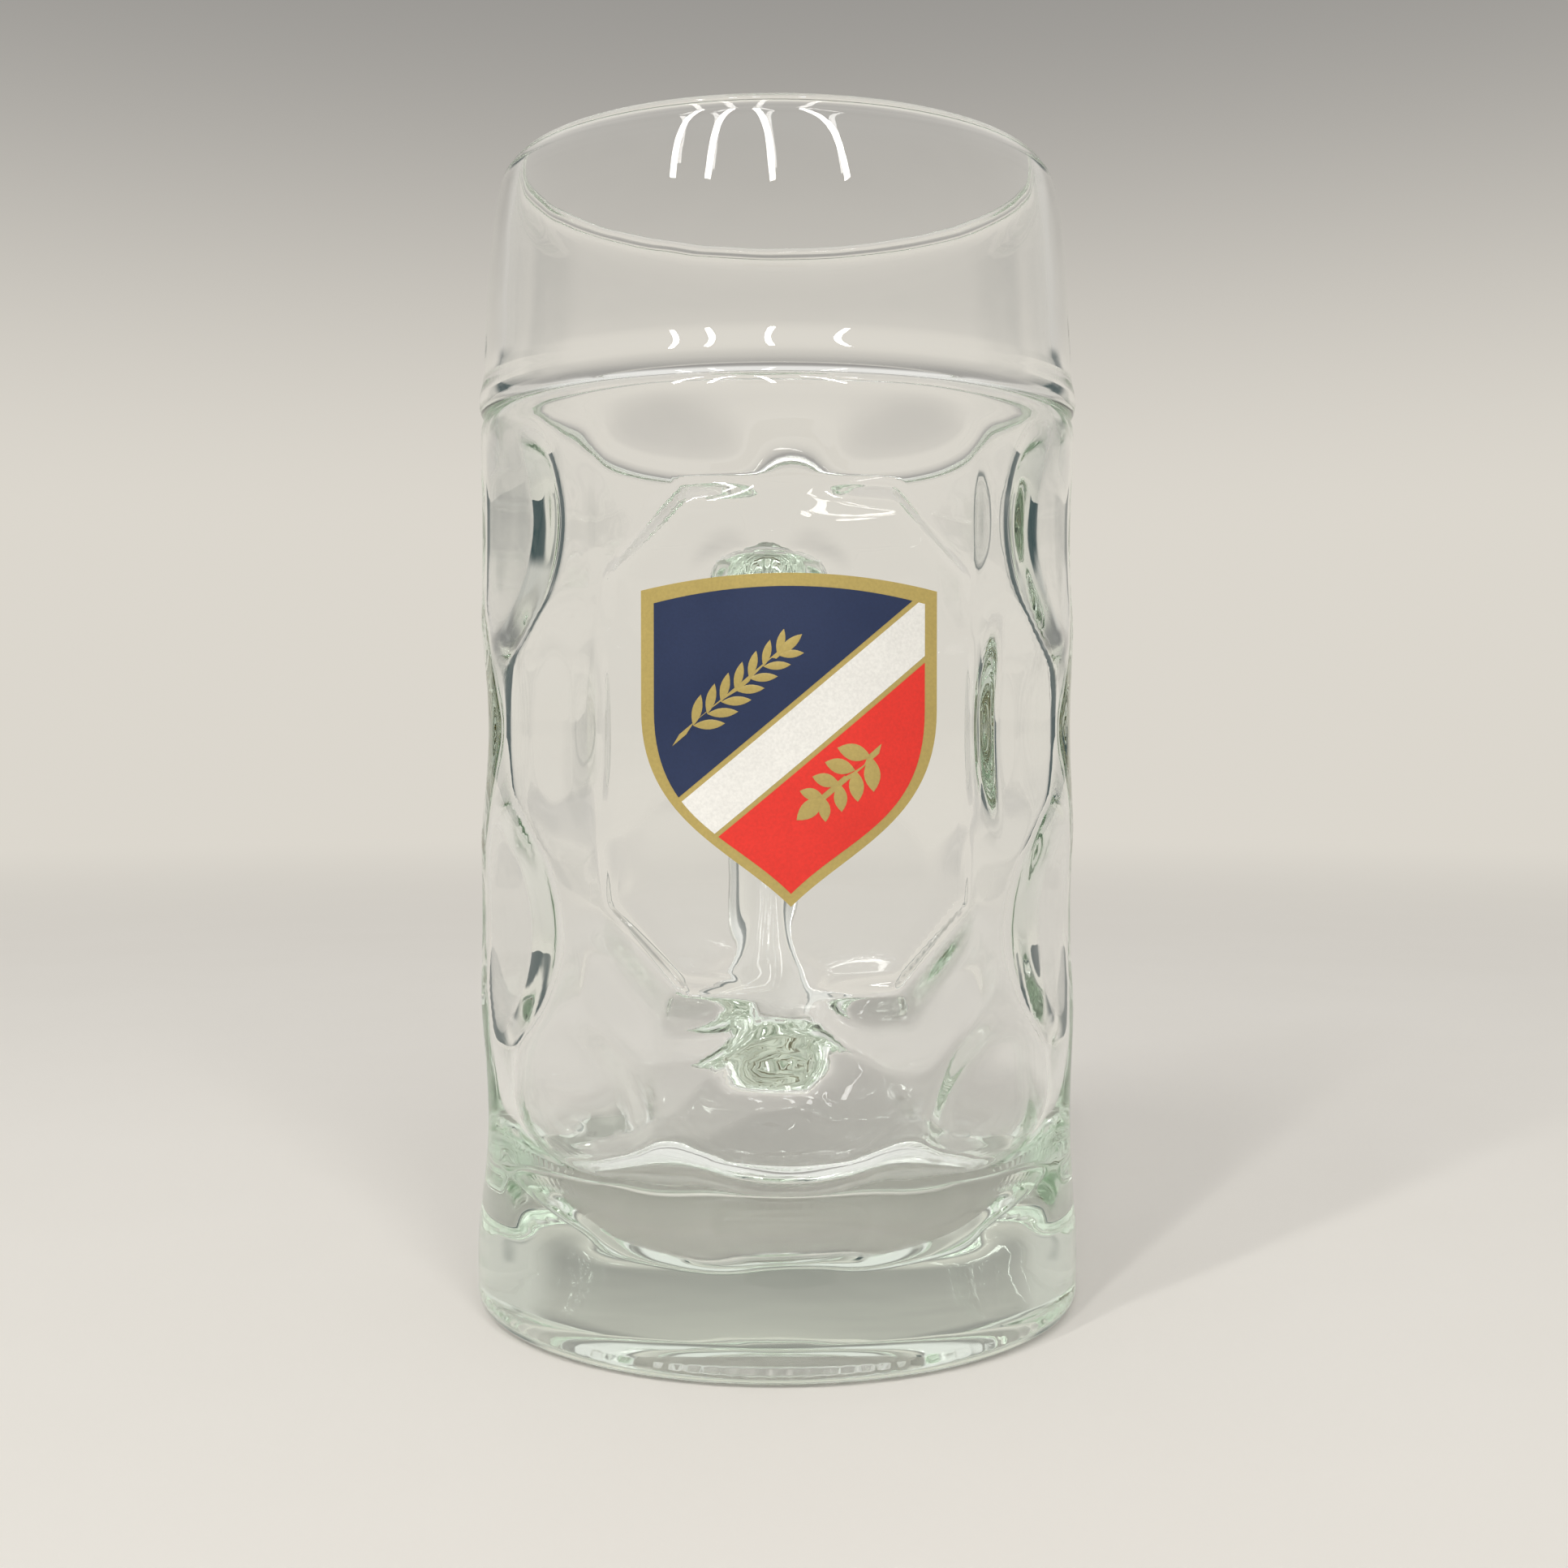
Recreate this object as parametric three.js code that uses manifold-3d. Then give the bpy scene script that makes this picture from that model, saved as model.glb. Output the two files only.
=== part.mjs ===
// Dimpled one-litre glass beer mug with an applied handle and a printed shield.
// Millimetres, +Z up. The origin is on the mug's axis at the plane it stands on.
// The printed side faces -Y and the handle is at +Y.
import * as THREE from 'three';
import { mergeVertices } from 'three/addons/utils/BufferGeometryUtils.js';
import Module from 'manifold-3d';

const wasm = await Module();
wasm.setup();

// Heights of the zones of the wall, stacked from the table up
const footHeight = 18;
const dimpledHeight = 134.5;
const shoulderHeight = 3.8;
const beadHeight = 5.7;
const lipHeight = 38;

// Outside of the glass: the wall's radius under the shoulder, and what stands out from it or draws in
const wallRadius = 53;
const wallTaper = 0.6;
const footStep = 0.4;
const footBlend = 6;
const grooveDepth = 1.6;
const beadSwell = 0.2;
const lipBlend = 3.6;
const lipStep = 0.5;
const lipLean = 1.2;
const rimTuck = 3.2;
const rimRound = 1.5;

// Underside: a bearing ring round a shallow recess
const heelRound = 3.2;
const bearingWidth = 6;
const recessDepth = 1;
const recessSlope = 4;

// Inside of the mug
const wallThickness = 5;
const lipThickness = 3.5;
const floorHeight = 6.5;
const bowlHeight = 34;
const bowlSideDrop = 18;
const bowlFlatReach = 25;
const innerShoulderLength = 22;

// Dimples, staggered from row to row, each pressed through so that it bulges on the inside
const dimpleDiameter = 34.6;
const dimpleDepth = 2.6;
const bulgeSwell = 0.8;
const dimplesPerRow = 8;
const dimpleRows = 4;

// Flush eight-sided panel that carries the print
const panelWidth = 57.4;
const panelHeight = 76.4;
const panelCornerWidth = 11.8;
const panelCornerHeight = 12.2;
const panelDrop = 2;

// Margin of plain wall round each root of the handle
const rootMargin = 1.5;

// Handle
const handleReach = 48;
const handleWidth = 19;
const handleThickness = 15;
const upperRootWidth = 27.5;
const upperRootHeight = 16.5;
const lowerRootWidth = 30;
const lowerRootHeight = 17;
const rootFlare = 16;
const rootInset = 3;
const upperRootDrop = 4.4;
const lowerRootDrop = 2.5;
const thumbRise = 3.5;
const upperShoulder = 13;
const lowerShoulder = 19;
const gripBow = 2.5;

// Printed shield
const shieldWidth = 46;
const shieldHeight = 51;
const shieldCrown = 2.4;
const shieldStraight = 21;
const shieldBelly = 17;
const shieldPoint = 9;
const shieldBorder = 2;
const bandWidth = 7;
const bandSlope = 40;
const keyline = 0.8;
const inkThickness = 0.15;

// Sprigs printed on the two fields, each lying along the band at its own distance from it
const barley = {
  pairs: 7,
  pitch: 2.8,
  grainLength: 4.9,
  grainWidth: 1.5,
  spread: 36,
  stemLength: 4.5,
  stemWidth: 0.7,
  taper: 0.2,
  bandGap: 7,
  facing: 0,
};
const hop = {
  pairs: 4,
  pitch: 3.2,
  grainLength: 5.4,
  grainWidth: 2.6,
  spread: 55,
  stemLength: 2.6,
  stemWidth: 0.9,
  taper: 0.4,
  bandGap: -5.6,
  facing: 180,
};

// Clearances
const seatGap = 0.3;
const inkGap = 0.1;

// Fineness of the round shapes
const turnSegments = 64;
const curveSteps = 6;
const smallCurveSteps = 3;
const dimpleSegments = 64;
const bulgeSegments = 56;
const handleSides = 16;
const handleSteps = 36;

// Heights and places that follow from the sizes above
const wallTop = footHeight + dimpledHeight;
const beadBottom = wallTop + shoulderHeight;
const lipBottom = beadBottom + beadHeight;
const mugHeight = lipBottom + lipHeight;
const footRadius = wallRadius + wallTaper + footStep;
const lipRadius = wallRadius - lipStep;
const lipTopRadius = lipRadius - lipLean;
const rimRadius = lipTopRadius - rimTuck - rimRound;
const innerRadius = wallRadius - wallThickness;
const dimpleRadius = dimpleDiameter / 2;
const rowPitch = (dimpledHeight - dimpleDiameter) / (dimpleRows - 1);
const dimplePitch = 360 / dimplesPerRow;
const panelCentre = rowHeight(1) - panelDrop;
const shieldReach = shieldWidth + shieldHeight;
const upperRootCentre = rowHeight(0) - upperRootDrop;
const lowerRootCentre = rowHeight(dimpleRows - 1) - lowerRootDrop;

// Height of a row of dimples, counted from the top row down
function rowHeight(row) {
  return wallTop - dimpleRadius - row * rowPitch;
}

// Radius of the plain wall at a height between the foot and the shoulder
function wallRadiusAt(height) {
  return wallRadius + wallTaper * (wallTop - height) / dimpledHeight;
}

// Closed solid of a geometry, with shared corners merged and collapsed triangles left out
function solidOf(geometry) {
  const bare = geometry.clone();
  bare.deleteAttribute('normal');
  bare.deleteAttribute('uv');
  const merged = mergeVertices(bare);
  const corners = merged.index.array;
  const kept = [];
  for (let i = 0; i < corners.length; i += 3) {
    const [a, b, c] = corners.slice(i, i + 3);
    if (a !== b && b !== c && c !== a) kept.push(a, b, c);
  }
  const mesh = new wasm.Mesh({
    numProp: 3,
    vertProperties: new Float32Array(merged.attributes.position.array),
    triVerts: new Uint32Array(kept),
  });
  return new wasm.Manifold(mesh);
}

function geometryOf(solid) {
  const mesh = solid.getMesh();
  const geometry = new THREE.BufferGeometry();
  geometry.setAttribute('position', new THREE.BufferAttribute(mesh.vertProperties, 3));
  geometry.setIndex(new THREE.BufferAttribute(mesh.triVerts, 1));
  geometry.computeVertexNormals();
  return geometry;
}

function union(solids) {
  return solids.reduce((whole, solid) => whole.add(solid));
}

// Solid turned about the mug's axis from a profile of radius and height
function turned(profile) {
  const geometry = new THREE.LatheGeometry(profile, turnSegments);
  geometry.rotateX(Math.PI / 2);
  return solidOf(geometry);
}

// Outline in the front view, pushed straight through the printed side of the mug
function frontPrism(shape) {
  const depth = footRadius * 2;
  const push = { depth, bevelEnabled: false, curveSegments: curveSteps };
  const geometry = new THREE.ExtrudeGeometry(shape, push);
  geometry.rotateX(Math.PI / 2);
  return solidOf(geometry);
}

// Corner of a profile, as a radius and a height
function at(radius, height) {
  return new THREE.Vector2(radius, height);
}

// Points along a bend, without its first point
function bend(start, pull, end, steps) {
  return new THREE.QuadraticBezierCurve(start, pull, end).getPoints(steps).slice(1);
}

// Underside and foot, from the middle of the recess out and up to the wall
function footProfile() {
  const bearingOuter = footRadius - heelRound;
  const bearingInner = bearingOuter - bearingWidth;
  const heelStart = at(bearingOuter, 0);
  const heelEnd = at(footRadius, heelRound);
  return [
    at(0, recessDepth),
    at(bearingInner - recessSlope, recessDepth),
    at(bearingInner, 0),
    heelStart,
    ...bend(heelStart, at(footRadius, 0), heelEnd, smallCurveSteps),
    at(footRadius, footHeight - footBlend),
    at(wallRadiusAt(footHeight), footHeight),
  ];
}

// Shoulder that rounds in over the wall, the groove above it and the bead ring
function beadProfile() {
  const shoulder = at(wallRadius, wallTop);
  const groove = at(wallRadius - grooveDepth, beadBottom);
  const crestRadius = wallRadius + beadSwell;
  const crest = at(crestRadius, (beadBottom + lipBottom) / 2);
  const lip = lipOutside();
  const lipStart = lip.getPoint(lipBlendShare());
  const lipPull = lip.getTangent(lipBlendShare()).multiplyScalar(-lipBlend / 2).add(lipStart);
  const crestPull = at(crestRadius, crest.y + lipBlend / 3);
  const blend = new THREE.CubicBezierCurve(crest, crestPull, lipPull, lipStart);
  return [
    shoulder,
    ...bend(shoulder, at(wallRadius, beadBottom), groove, smallCurveSteps),
    ...bend(groove, at(crestRadius, beadBottom), crest, smallCurveSteps),
    ...blend.getPoints(smallCurveSteps).slice(1),
  ];
}

// Outside of the lip, from the top of the bead ring to the rim
function lipOutside() {
  const rimHeight = mugHeight - rimRound;
  const start = at(lipRadius, lipBottom);
  const pull = at(lipTopRadius, rimHeight);
  const end = at(rimRadius + rimRound, rimHeight);
  return new THREE.QuadraticBezierCurve(start, pull, end);
}

// Share of the lip's outside that the bead's blend takes
function lipBlendShare() {
  return lipBlend / (4 * (lipHeight - rimRound));
}

// Lip from the bead up, over the rounded rim and down inside to the level of the bead
function lipProfile() {
  const rimHeight = mugHeight - rimRound;
  const innerRim = at(rimRadius - rimRound, rimHeight);
  const innerEnd = at(lipRadius - lipThickness, lipBottom);
  const rim = new THREE.EllipseCurve(rimRadius, rimHeight, rimRound, rimRound, 0, Math.PI);
  const outside = [];
  for (let step = 1; step <= curveSteps; step += 1) {
    const share = THREE.MathUtils.lerp(lipBlendShare(), 1, step / curveSteps);
    outside.push(lipOutside().getPoint(share));
  }
  return [
    ...outside,
    ...rim.getPoints(curveSteps).slice(1),
    ...bend(innerRim, at(lipTopRadius - lipThickness, rimHeight), innerEnd, curveSteps),
  ];
}

// Inside of the wall below the bead, and the bowl-shaped bottom
function insideProfile() {
  const lipInner = lipRadius - lipThickness;
  const shoulderMiddle = lipBottom - innerShoulderLength / 2;
  const top = at(lipInner, lipBottom);
  const middle = at((lipInner + innerRadius) / 2, shoulderMiddle);
  const bottom = at(innerRadius, lipBottom - innerShoulderLength);
  const bowlTop = at(innerRadius, floorHeight + bowlHeight);
  const bowlSide = at(innerRadius, bowlTop.y - bowlSideDrop);
  const bowlFlat = at(bowlFlatReach, floorHeight);
  const bowl = new THREE.CubicBezierCurve(bowlTop, bowlSide, bowlFlat, at(0, floorHeight));
  return [
    ...bend(top, at(lipInner, shoulderMiddle + innerShoulderLength / 4), middle, smallCurveSteps),
    ...bend(middle, at(innerRadius, shoulderMiddle - innerShoulderLength / 4), bottom, smallCurveSteps),
    ...bowl.getPoints(curveSteps * 2),
  ];
}

// Eight-sided outline of the label panel in the front view
function panelShape() {
  const side = panelWidth / 2;
  const end = panelHeight / 2;
  const shape = new THREE.Shape();
  shape.moveTo(side, panelCentre - end + panelCornerHeight);
  shape.lineTo(side, panelCentre + end - panelCornerHeight);
  shape.lineTo(side - panelCornerWidth, panelCentre + end);
  shape.lineTo(panelCornerWidth - side, panelCentre + end);
  shape.lineTo(-side, panelCentre + end - panelCornerHeight);
  shape.lineTo(-side, panelCentre - end + panelCornerHeight);
  shape.lineTo(panelCornerWidth - side, panelCentre - end);
  shape.lineTo(side - panelCornerWidth, panelCentre - end);
  shape.closePath();
  return shape;
}

// A level drum lying along the wall, which presses a round dimple where it dips into the glass
function dimpleDrum(row, place, growth, segments) {
  const drumRadius = (dimpleRadius ** 2 + dimpleDepth ** 2) / (2 * dimpleDepth);
  const height = rowHeight(row);
  const radius = drumRadius + growth;
  const geometry = new THREE.CylinderGeometry(radius, radius, dimpleDiameter * 2, segments);
  geometry.rotateZ(Math.PI / 2);
  geometry.translate(0, -(wallRadiusAt(height) - dimpleDepth + drumRadius), height);
  const stagger = row % 2 === 0 ? 0.5 : 0;
  geometry.rotateZ(THREE.MathUtils.degToRad((place + stagger) * dimplePitch));
  return solidOf(geometry);
}

// Plain pad of wall under a root of the handle, pushed through the back of the mug
function rootPad(width, height, centre) {
  const geometry = new THREE.CylinderGeometry(0.5, 0.5, footRadius * 2, handleSides);
  geometry.scale(width + rootMargin * 2, 1, height + rootMargin * 2);
  geometry.translate(0, footRadius, centre);
  return solidOf(geometry);
}

// All the drums, grown by a thickness of glass, but for the label panel and the handle's two pads
function dimpleDrums(growth, segments) {
  const drums = [];
  for (let row = 0; row < dimpleRows; row += 1) {
    for (let place = 0; place < dimplesPerRow; place += 1) {
      drums.push(dimpleDrum(row, place, growth, segments));
    }
  }
  return union(drums)
    .subtract(frontPrism(panelShape()))
    .subtract(rootPad(upperRootWidth, upperRootHeight, upperRootCentre))
    .subtract(rootPad(lowerRootWidth, lowerRootHeight, lowerRootCentre));
}

// Turned glass with the dimples' bulges added inside and the dimples then cut outside
function glassBody() {
  const profile = [...footProfile(), ...beadProfile(), ...lipProfile(), ...insideProfile()];
  const bulgeRadius = innerRadius + (wallThickness - dimpleDepth) / 2;
  const core = turned([
    at(0, footHeight),
    at(bulgeRadius, footHeight),
    at(bulgeRadius, lipBottom),
    at(0, lipBottom),
  ]);
  const bulges = dimpleDrums(wallThickness + bulgeSwell, bulgeSegments).intersect(core);
  return turned(profile).add(bulges).subtract(dimpleDrums(0, dimpleSegments));
}

// Side view of the handle's middle line, from the upper root round to the lower root
function handleLine() {
  const outer = wallRadius + handleReach - handleThickness / 2;
  const upperWall = wallRadiusAt(upperRootCentre);
  const lowerWall = wallRadiusAt(lowerRootCentre);
  const gripMiddle = (upperRootCentre + lowerRootCentre) / 2;
  const points = [
    [upperWall - rootInset, upperRootCentre],
    [upperWall + rootFlare, upperRootCentre + thumbRise],
    [outer - upperShoulder, upperRootCentre + thumbRise / 2],
    [outer - gripBow, upperRootCentre - upperShoulder],
    [outer, gripMiddle],
    [outer - lowerShoulder / 2, lowerRootCentre + lowerShoulder],
    [lowerWall + rootFlare, lowerRootCentre + lowerShoulder / 4],
    [lowerWall - rootInset, lowerRootCentre],
  ];
  const line = points.map(([y, z]) => new THREE.Vector3(0, y, z));
  return new THREE.CatmullRomCurve3(line, false, 'centripetal');
}

// Size across the handle at a distance from each root, swelling smoothly into the nearer one
function flared(plain, upperRoot, lowerRoot, fromUpper, fromLower) {
  const upper = 1 - THREE.MathUtils.smoothstep(fromUpper, 0, rootFlare);
  const lower = 1 - THREE.MathUtils.smoothstep(fromLower, 0, rootFlare);
  return plain + (upperRoot - plain) * upper + (lowerRoot - plain) * lower;
}

// A closed cylinder laid along the handle's middle line, then trimmed to sit on the wall
function handle() {
  const line = handleLine();
  const length = line.getLength();
  const geometry = new THREE.CylinderGeometry(0.5, 0.5, 1, handleSides, handleSteps);
  const corners = geometry.attributes.position;
  for (let i = 0; i < corners.count; i += 1) {
    const share = 0.5 - corners.getY(i);
    const centre = line.getPointAt(share);
    const along = line.getTangentAt(share);
    const fromUpper = share * length;
    const fromLower = length - fromUpper;
    const width = flared(handleWidth, upperRootWidth, lowerRootWidth, fromUpper, fromLower);
    const thickness = flared(handleThickness, upperRootHeight, lowerRootHeight, fromUpper, fromLower);
    const across = corners.getX(i) * width;
    const out = corners.getZ(i) * thickness;
    corners.setXYZ(i, across, centre.y + along.z * out, centre.z - along.y * out);
  }
  const seat = turned([
    at(0, 0),
    at(wallRadiusAt(0) + seatGap, 0),
    at(wallRadiusAt(mugHeight) + seatGap, mugHeight),
    at(0, mugHeight),
  ]);
  return solidOf(geometry).subtract(seat);
}

// Outline of the shield in the front view, drawn in by an inset all round
function shieldShape(inset) {
  const side = shieldWidth / 2 - inset;
  const top = panelCentre + shieldHeight / 2 - shieldCrown - inset;
  const waist = panelCentre + shieldHeight / 2 - shieldStraight;
  const tip = panelCentre - shieldHeight / 2 + inset;
  const shape = new THREE.Shape();
  shape.moveTo(side, waist);
  shape.lineTo(side, top);
  shape.quadraticCurveTo(0, top + shieldCrown * 2, -side, top);
  shape.lineTo(-side, waist);
  shape.bezierCurveTo(-side, waist - shieldBelly, -shieldPoint, tip + shieldPoint, 0, tip);
  shape.bezierCurveTo(shieldPoint, tip + shieldPoint, side, waist - shieldBelly, side, waist);
  return shape;
}

// Outline drawn along the shield's band, turned and placed into the front view
function alongBand(points) {
  const turn = THREE.MathUtils.degToRad(bandSlope);
  const pivot = at(0, 0);
  return new THREE.Shape(points.map((p) => p.clone().rotateAround(pivot, turn).add(at(0, panelCentre))));
}

// Long bar along the band between two distances square to it
function bar(from, to) {
  const start = [at(-shieldReach, from), at(shieldReach, from)];
  const end = [at(shieldReach, to), at(-shieldReach, to)];
  return alongBand([...start, ...end]);
}

// Film of ink over the printed side, counted outwards from the glass
function inkFilm(layer) {
  const inner = inkGap + layer * (inkThickness + inkGap);
  const outer = inner + inkThickness;
  const low = panelCentre - shieldHeight;
  const high = panelCentre + shieldHeight;
  return turned([
    at(wallRadiusAt(low) + inner, low),
    at(wallRadiusAt(low) + outer, low),
    at(wallRadiusAt(high) + outer, high),
    at(wallRadiusAt(high) + inner, high),
    at(wallRadiusAt(low) + inner, low),
  ]);
}

function printField(outline, layer) {
  return inkFilm(layer).intersect(outline);
}

// Pointed grain or hop scale, its foot at the origin and its tip up
function grainShape(length, width) {
  const shape = new THREE.Shape();
  shape.moveTo(0, 0);
  shape.quadraticCurveTo(width, length / 2, 0, length);
  shape.quadraticCurveTo(-width, length / 2, 0, 0);
  return shape;
}

// Sprig of grains in pairs along a stem, with one more at its tip
function sprig(size) {
  const length = size.stemLength + size.pairs * size.pitch + size.grainLength;
  const start = size.stemLength - length / 2;
  const stemEnd = start + size.pairs * size.pitch;
  const half = size.stemWidth / 2;
  const stem = [at(start - size.stemLength, -half), at(stemEnd, -half), at(stemEnd, half)];
  const outlines = [[...stem, at(start - size.stemLength, half)]];
  const addGrain = (distance, lean, scale) => {
    const points = grainShape(size.grainLength * scale, size.grainWidth * scale).getPoints(smallCurveSteps);
    outlines.push(points.map((p) => p.rotateAround(at(0, 0), lean - Math.PI / 2).add(at(distance, 0))));
  };
  for (let pair = 0; pair < size.pairs; pair += 1) {
    const scale = 1 - size.taper * (pair / size.pairs);
    const lean = THREE.MathUtils.degToRad(size.spread);
    addGrain(start + pair * size.pitch, lean, scale);
    addGrain(start + pair * size.pitch, -lean, scale);
  }
  addGrain(stemEnd - size.pitch, 0, 1);

  const facing = THREE.MathUtils.degToRad(size.facing);
  const aside = at(0, Math.sign(size.bandGap) * (bandWidth / 2 + keyline) + size.bandGap);
  const placed = outlines.map((points) => points.map((p) => p.rotateAround(at(0, 0), facing).add(aside)));
  return union(placed.map((points) => frontPrism(alongBand(points))));
}

// Finishes
const glass = { color: 0xd3e6da, roughness: 0.03, metalness: 0 };
const gold = { color: 0xb8a261, roughness: 0.4, metalness: 0.2 };
const navy = { color: 0x1f2f55, roughness: 0.35, metalness: 0 };
const red = { color: 0xe23a25, roughness: 0.35, metalness: 0 };
const white = { color: 0xf2f0ea, roughness: 0.35, metalness: 0 };

const mug = new THREE.Group();

function addPiece(name, solid, finish) {
  const mesh = new THREE.Mesh(geometryOf(solid), new THREE.MeshStandardMaterial(finish));
  mesh.name = name;
  mug.add(mesh);
}

const field = frontPrism(shieldShape(shieldBorder));
const bandEdge = bandWidth / 2;
const aboveBand = frontPrism(bar(bandEdge + keyline, shieldReach));
const belowBand = frontPrism(bar(-shieldReach, -bandEdge - keyline));
const onBand = frontPrism(bar(-bandEdge, bandEdge));

addPiece('glass_body', glassBody(), glass);
addPiece('handle', handle(), glass);
addPiece('print_gold_ground', printField(frontPrism(shieldShape(0)), 0), gold);
addPiece('print_navy_field', printField(field.intersect(aboveBand), 1), navy);
addPiece('print_red_field', printField(field.intersect(belowBand), 1), red);
addPiece('print_white_band', printField(field.intersect(onBand), 1), white);
addPiece('print_gold_barley', printField(field.intersect(sprig(barley)), 2), gold);
addPiece('print_gold_hop', printField(field.intersect(sprig(hop)), 2), gold);

export default mug;
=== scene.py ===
import math

import bpy
import numpy as np
from mathutils import Matrix, Vector


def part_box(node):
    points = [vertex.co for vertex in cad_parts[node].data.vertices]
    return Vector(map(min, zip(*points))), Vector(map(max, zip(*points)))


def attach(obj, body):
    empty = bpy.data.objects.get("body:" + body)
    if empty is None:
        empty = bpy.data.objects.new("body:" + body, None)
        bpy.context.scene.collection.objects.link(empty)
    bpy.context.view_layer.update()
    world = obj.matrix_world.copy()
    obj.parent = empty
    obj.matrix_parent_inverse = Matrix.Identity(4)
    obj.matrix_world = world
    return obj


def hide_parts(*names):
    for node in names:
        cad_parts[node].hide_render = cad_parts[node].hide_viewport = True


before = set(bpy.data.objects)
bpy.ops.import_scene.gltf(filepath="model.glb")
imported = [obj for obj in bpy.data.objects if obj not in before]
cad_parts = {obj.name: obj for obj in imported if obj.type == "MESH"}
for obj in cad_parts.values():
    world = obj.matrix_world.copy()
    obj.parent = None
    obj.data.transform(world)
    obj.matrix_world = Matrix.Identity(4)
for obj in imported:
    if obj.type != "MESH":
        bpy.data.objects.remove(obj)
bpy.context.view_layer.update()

body_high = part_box("glass_body")[1]
handle_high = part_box("handle")[1]
shield_low, shield_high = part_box("print_gold_ground")

# Heights of the zones of the wall, in metres, stacked from the table up
FOOT_HEIGHT = 0.018
DIMPLED_HEIGHT = 0.1345
SHOULDER_HEIGHT = 0.0038
BEAD_HEIGHT = 0.0057
WALL_TOP = FOOT_HEIGHT + DIMPLED_HEIGHT
BEAD_BOTTOM = WALL_TOP + SHOULDER_HEIGHT
LIP_BOTTOM = BEAD_BOTTOM + BEAD_HEIGHT
MUG_HEIGHT = body_high.z

# Outside of the glass, drawn in from the foot, which is the widest place
FOOT_RADIUS = body_high.x
FOOT_BLEND = 0.006
FOOT_STEP = 0.0004
WALL_TAPER = 0.0006
WALL_RADIUS = FOOT_RADIUS - FOOT_STEP - WALL_TAPER
GROOVE_DEPTH = 0.0016
BEAD_SWELL = 0.0002
LIP_STEP = 0.0005
LIP_LEAN = 0.0012
LIP_BLEND = 0.0036
LIP_RADIUS = WALL_RADIUS - LIP_STEP
LIP_TOP_RADIUS = LIP_RADIUS - LIP_LEAN
RIM_TUCK = 0.0032
RIM_ROUND = 0.0015
RIM_RADIUS = LIP_TOP_RADIUS - RIM_TUCK - RIM_ROUND

# Underside: a knurled bearing ring round a shallow recess
HEEL_ROUND = 0.0032
BEARING_WIDTH = 0.006
RECESS_DEPTH = 0.001
RECESS_SLOPE = 0.004
KNURL_RIDGES = 96
KNURL_DEPTH = 0.0003
KNURL_MARGIN = 0.0004

# Inside of the mug
WALL_THICKNESS = 0.005
LIP_THICKNESS = 0.0035
INNER_RADIUS = WALL_RADIUS - WALL_THICKNESS
LIP_INNER_RADIUS = LIP_RADIUS - LIP_THICKNESS
FLOOR_HEIGHT = 0.0065
BOWL_HEIGHT = 0.034
BOWL_SIDE_DROP = 0.018
BOWL_FLAT_REACH = 0.025
INNER_SHOULDER = 0.022

# Dimples, staggered from row to row
DIMPLE_RADIUS = 0.0173
DIMPLE_DEPTH = 0.0026
DIMPLES_PER_ROW = 8
DIMPLE_ROWS = 4
ROW_PITCH = (DIMPLED_HEIGHT - 2 * DIMPLE_RADIUS) / (DIMPLE_ROWS - 1)
BULGE_SWELL = 0.0008
DIMPLE_SOFTNESS = 0.0008
BULGE_SOFTNESS = 0.0005
BULGE_FADE = 0.009

# Flush eight-sided panel for the print, and how far the bulges beside it start inside its outline
PANEL_WIDTH = 0.0574
PANEL_HEIGHT = 0.0764
PANEL_CORNER_WIDTH = 0.0118
PANEL_CORNER_HEIGHT = 0.0122
PANEL_CENTRE = (shield_low.z + shield_high.z) / 2
PANEL_EDGE = 0.0024
PANEL_MIDDLE = (0.02, 0.032)
BULGE_START_LEFT = 0.008
BULGE_START_RIGHT = 0.002

# Handle, its middle line running a grip's depth inside its outermost place
HANDLE_WIDTH = 0.019
HANDLE_THICKNESS = 0.015
GRIP_DEPTH = 0.0083
HANDLE_OUTER = handle_high.y - GRIP_DEPTH
GRIP_BOW = 0.0025
THUMB_RISE = 0.0035
UPPER_SHOULDER = 0.013
LOWER_SHOULDER = 0.019
ROOT_FLARE = 0.016
ROOT_INSET = 0.0035
UPPER_SWELL = 1.42
LOWER_SWELL = 1.5
LOWER_NECK_SWELL = 1.06
UPPER_ROOT_DROP = 0.0044
LOWER_ROOT_DROP = 0.0025
UPPER_ROOT = WALL_TOP - DIMPLE_RADIUS - UPPER_ROOT_DROP
LOWER_ROOT = WALL_TOP - DIMPLE_RADIUS - (DIMPLE_ROWS - 1) * ROW_PITCH - LOWER_ROOT_DROP
UPPER_PAD = (0.0155, 0.0098)
LOWER_PAD = (0.0165, 0.01)
PAD_EDGE = 0.35

# Roots of the handle as they were pressed onto the wall, between two distances from it
ROOT_REACH = 0.03
ROOT_PRESS = (0.002, 0.013)
ROOT_SQUARENESS = 4
UPPER_FLATNESS = 0.72
LOWER_FLATNESS = 0.66
CRIMPS = 22
CRIMP_DEPTH = 0.035
CRIMP_REACH = (0.002, 0.006)
CREASE_MARGIN = 0.004
CREASE_REACH = 0.0009

# Fineness of the glass
ROUND_STEPS = 288
WALL_STEPS = 116

# Printed shield
SHIELD_WIDTH = 0.046
SHIELD_HEIGHT = 0.051
SHIELD_CROWN = 0.0024
SHIELD_STRAIGHT = 0.021
SHIELD_BELLY = 0.017
SHIELD_POINT = 0.009
SHIELD_BORDER = 0.002
BAND_WIDTH = 0.007
BAND_SLOPE = math.radians(40)
KEYLINE = 0.0008
INK_BITE = 0.00003
INK_STEP = 0.00005
STRIP_WIDTH = 0.0012
GRAIN_RISE = 2.6
GRAIN_BEVEL = 0.12
STEM_RISE = 3

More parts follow.
